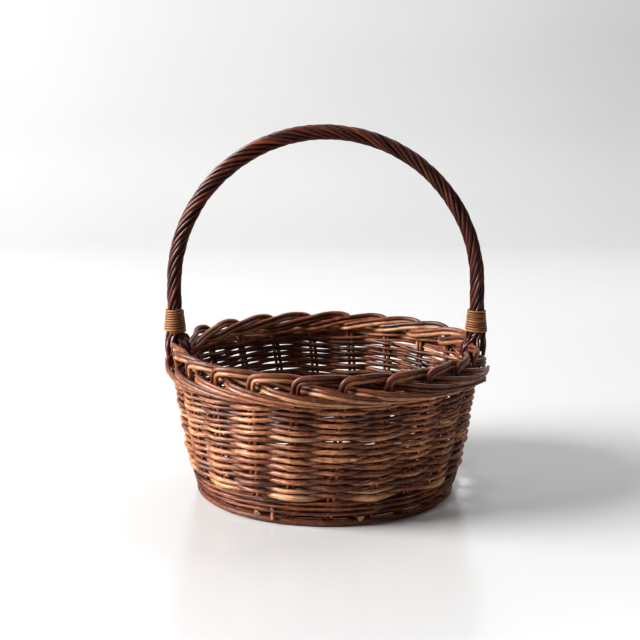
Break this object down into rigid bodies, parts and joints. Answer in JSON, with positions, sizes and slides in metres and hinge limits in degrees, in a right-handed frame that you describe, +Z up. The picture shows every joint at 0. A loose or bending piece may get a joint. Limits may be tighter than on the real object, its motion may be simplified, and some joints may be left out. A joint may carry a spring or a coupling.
{
  "type": "woven market basket",
  "caption": "Round woven willow market basket with a rolled plaited border, a foot ring and a tall fixed rope-bound bow handle.",
  "frame": {"origin": "middle of the underside of the foot ring, on the surface that the basket stands on", "axes": "+Z up through the middle of the handle's top; the handle's bow lies in the X-Z plane, so X runs from leg to leg and Y across the handle"},
  "size_m": [0.3732, 0.367, 0.417],
  "materials": {
    "stake": "satin dark brown willow bark",
    "weaver": "satin reddish brown willow bark, worn paler on the high spots",
    "wale": "satin brown willow bark",
    "base": "dull brown willow bark",
    "bow": "satin dark willow rod",
    "strand": "satin reddish dark willow bark, polished by hands",
    "cane": "satin split cane, light tan"
  },
  "bodies": {
    "root": {"through_stick_01": "base", "through_stick_02": "base", "through_stick_03": "base", "through_stick_04": "base", "through_stick_05": "base", "slit_stick_01": "base", "slit_stick_02": "base", "slit_stick_03": "base", "slit_stick_04": "base", "slit_stick_05": "base", "slit_stick_06": "base", "base_weave_inner": "base", "base_weave_outer": "base", "foot_ring": "wale", "stake_pair_01": "stake", "stake_pair_02": "stake", "stake_pair_03": "stake", "stake_pair_04": "stake", "stake_pair_05": "stake", "stake_pair_06": "stake", "stake_pair_07": "stake", "stake_pair_08": "stake", "stake_pair_09": "stake", "stake_pair_10": "stake", "stake_pair_11": "stake", "stake_pair_12": "stake", "stake_pair_13": "stake", "stake_pair_14": "stake", "stake_pair_15": "stake", "stake_pair_16": "stake", "stake_pair_17": "stake", "stake_pair_18": "stake", "stake_pair_19": "stake", "stake_pair_20": "stake", "stake_pair_21": "stake", "stake_pair_22": "stake", "upsett_row_01": "wale", "upsett_row_02": "wale", "siding_row_01": "weaver", "siding_row_02": "weaver", "siding_row_03": "weaver", "siding_row_04": "weaver", "siding_row_05": "weaver", "siding_row_06": "weaver", "siding_row_07": "weaver", "siding_row_08": "weaver", "top_wale": "wale", "handle_bow": "bow", "handle_strand_01": "strand", "handle_strand_02": "strand", "handle_strand_03": "strand", "handle_strand_04": "strand", "handle_strand_05": "strand", "handle_strand_06": "strand", "handle_strand_07": "strand", "handle_strand_08": "strand", "lapping_left": "cane", "lapping_right": "cane"}
  },
  "joints": []
}
